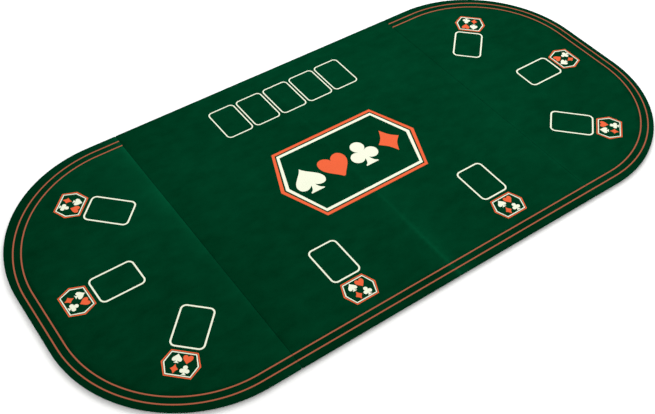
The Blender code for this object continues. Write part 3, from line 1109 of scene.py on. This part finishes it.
def fibreboard_material():
    """Pressed fibre: short pale and dark fibres, with a darker pressed skin in broad patches."""
    nodes = Nodes("fibreboard")
    place = object_coordinates(nodes)
    fibres = nodes.noise(place, 700.0, 4.0, 0.7, (0.3, 1.0, 1.0))
    broad = nodes.noise(place, 12.0, 3.0, 0.5)
    shade = nodes.total((fibres, 0.7), (broad, 0.3))
    dark, pale = rgba(0.20, 0.105, 0.050), rgba(0.42, 0.27, 0.15)
    colour = nodes.mix(nodes.ranged(shade, 0.35, 0.65, 0.0, 1.0), dark, pale)
    nodes.put(Base_Color=colour)
    nodes.put(Roughness=nodes.ranged(fibres, 0.3, 0.7, 0.90, 0.72))
    nodes.put(Specular_IOR_Level=0.25)
    nodes.put(Normal=nodes.bump(fibres, 0.5, 0.0002))
    return nodes.material


# ---------------------------------------------------------------- stage, light and camera

CAMERA_AIM = (-0.1377, -0.0907)
CAMERA_AZIMUTH = 36.29
CAMERA_ELEVATION = 47.42
CAMERA_ROLL = 1.23
CAMERA_DISTANCE = 2.465
CAMERA_LENS = 53.25


def make_camera():
    data = bpy.data.cameras.new("camera")
    data.lens = CAMERA_LENS
    data.sensor_width = 36.0
    camera = add_object("camera", data)
    azimuth, elevation = math.radians(CAMERA_AZIMUTH), math.radians(CAMERA_ELEVATION)
    forward = Vector((
        math.sin(azimuth) * math.cos(elevation),
        math.cos(azimuth) * math.cos(elevation),
        -math.sin(elevation),
    ))
    right = forward.cross(Vector((0, 0, 1))).normalized()
    up = right.cross(forward)
    turn = Matrix.Rotation(math.radians(CAMERA_ROLL), 3, -forward)
    right, up = turn @ right, turn @ up
    place = Vector((*CAMERA_AIM, TOP)) - CAMERA_DISTANCE * forward
    columns = Matrix((right, up, -forward)).transposed()
    camera.matrix_world = Matrix.Translation(place) @ columns.to_4x4()
    bpy.context.scene.camera = camera


def make_floor():
    shape = bmesh.new()
    bmesh.ops.create_grid(shape, x_segments=2, y_segments=2, size=20.0)
    mesh = bpy.data.meshes.new("floor")
    shape.to_mesh(mesh)
    shape.free()
    floor = add_object("floor", mesh)
    nodes = Nodes("pale_floor")
    nodes.put(Base_Color=rgba(0.88, 0.88, 0.87))
    nodes.put(Roughness=0.9)
    nodes.put(Specular_IOR_Level=0.1)
    mesh.materials.append(nodes.material)


def add_area_light(name, place, target, size, power):
    data = bpy.data.lights.new(name, "AREA")
    data.shape = "SQUARE"
    data.size = size
    data.energy = power
    light = add_object(name, data)
    light.location = place
    light.rotation_euler = (Vector(target) - Vector(place)).to_track_quat("-Z", "Y").to_euler()


def make_lights():
    world = bpy.data.worlds.new("studio")
    bpy.context.scene.world = world
    world.use_nodes = True
    sky = world.node_tree.nodes["Background"]
    sky.inputs["Color"].default_value = rgba(1.0, 1.0, 1.0)
    sky.inputs["Strength"].default_value = 0.92
    add_area_light("key", (0.95, 0.65, 2.1), (0.25, 0.05, 0.0), 1.6, 28.0)
    add_area_light("back", (-0.6, 2.6, 2.6), (0.0, 0.2, 0.0), 2.4, 18.0)
    add_area_light("fill", (-2.2, -2.6, 2.8), (0.0, 0.0, 0.0), 2.6, 15.0)
    bpy.context.scene.view_settings.view_transform = "Standard"


# ---------------------------------------------------------------- assembly


def make_felts():
    materials = felt_materials()
    wrap = 2 * (TOP - UNDERSIDE + FELT_MARGIN)
    end_flat = (HALF_LENGTH - END_SEAM + wrap, 2 * HALF_WIDTH + wrap)
    middle_flat = (2 * MIDDLE_SEAM + wrap, 2 * HALF_WIDTH + wrap)
    pieces = (
        ("left_end_felt_cloth", "left", end_print(-1), end_flat, ["end_left"]),
        ("middle_felt_cloth", "middle", middle_print(), middle_flat, ["centre_left", "centre_right"]),
        ("right_end_felt_cloth", "right", end_print(1), end_flat, ["end_right"]),
    )
    for name, panel, shapes, flat, bodies in pieces:
        piece = build_felt(name, panel, shapes)
        for material in materials:
            piece.data.materials.append(material)
        thicken(piece, FELT_THICKNESS)
        if len(bodies) == 1:
            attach(piece, bodies[0])
        else:
            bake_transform(piece)
        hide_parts(*[body + "_felt" for body in bodies])


def stand_for(piece, body, node):
    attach(piece, body)
    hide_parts(node)


def foot_of(node):
    """The middle of a node's lowest face."""
    low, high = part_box(node)
    return ((low.x + high.x) / 2, (low.y + high.y) / 2, low.z)


def make_boards():
    material = fibreboard_material()
    for body in BOARD_BODIES:
        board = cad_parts[body + "_board"]
        for slot in board.material_slots:
            slot.material = material


def make_linings():
    material = leatherette_material()
    for body in BOARD_BODIES:
        sheet, size = build_lining(body)
        sheet.data.materials.append(material)
        stand_for(sheet, body, body + "_lining")


def make_pads():
    mesh = pad_shape(*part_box("end_left_pad_1"))
    mesh.materials.append(rubber_material())
    for body in BOARD_BODIES:
        for number in range(1, 5):
            node = body + "_pad_" + str(number)
            pad = add_object(node.replace("pad", "bumper"), mesh)
            pad.location = foot_of(node)
            stand_for(pad, body, node)


def make_hinges():
    material = zinc_material()
    pin_low, pin_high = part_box("left_hinge_near_pin")
    leaf_low, leaf_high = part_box("left_hinge_near_middle_leaf")
    screw_low, screw_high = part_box("left_hinge_near_middle_screw_1")
    pin_x, hinge_y = (pin_low.x + pin_high.x) / 2, (pin_low.y + pin_high.y) / 2
    barrel, pin_radius = (leaf_high.z - leaf_low.z) / 2, (pin_high.z - pin_low.z) / 2
    length = leaf_high.y - leaf_low.y
    reach = (screw_low.x + screw_high.x) / 2 - pin_x
    along = (screw_low.y + screw_high.y) / 2 - hinge_y
    head = (screw_high.x - screw_low.x) / 2
    screws = {
        "places": ((reach, along), (reach, -along)),
        "narrow": 0.5 * head + SCREW_CLEARANCE,
        "wide": head + SCREW_CLEARANCE,
    }
    leaves = {
        place: leaf_shape(leaf_high.x - pin_x, length, barrel, pin_radius, screws, parity)
        for place, parity in (("middle", 0), ("end", 1))
    }
    pin = pin_shape(pin_radius, length)
    screw = screw_shape(screw_low, screw_high)
    for mesh in (*leaves.values(), pin, screw):
        mesh.materials.append(material)
    for side in ("left", "right"):
        for where in ("near", "far"):
            stem = side + "_hinge_" + where
            low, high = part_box(stem + "_pin")
            axis = (low + high) / 2
            piece = add_object(stem + "_steel_pin", pin)
            piece.location = axis
            piece.rotation_euler = (math.pi / 2, 0.0, 0.0)
            stand_for(piece, "centre_" + side, stem + "_pin")
            for place, body in (("middle", "centre_" + side), ("end", "end_" + side)):
                towards_right = (place == "middle") == (side == "left")
                piece = add_object(stem + "_" + place + "_steel_leaf", leaves[place])
                piece.location = axis
                piece.rotation_euler = (0.0, 0.0, 0.0 if towards_right else math.pi)
                stand_for(piece, body, stem + "_" + place + "_leaf")
                for number in (1, 2):
                    node = stem + "_" + place + "_screw_" + str(number)
                    piece = add_object(node.replace("screw", "steel_screw"), screw)
                    piece.location = foot_of(node)
                    piece.rotation_euler = (0.0, 0.0, 1.3 * number + 40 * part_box(node)[0].x)
                    stand_for(piece, body, node)


make_camera()
make_floor()
make_lights()
make_boards()
make_felts()
make_linings()
make_pads()
make_hinges()
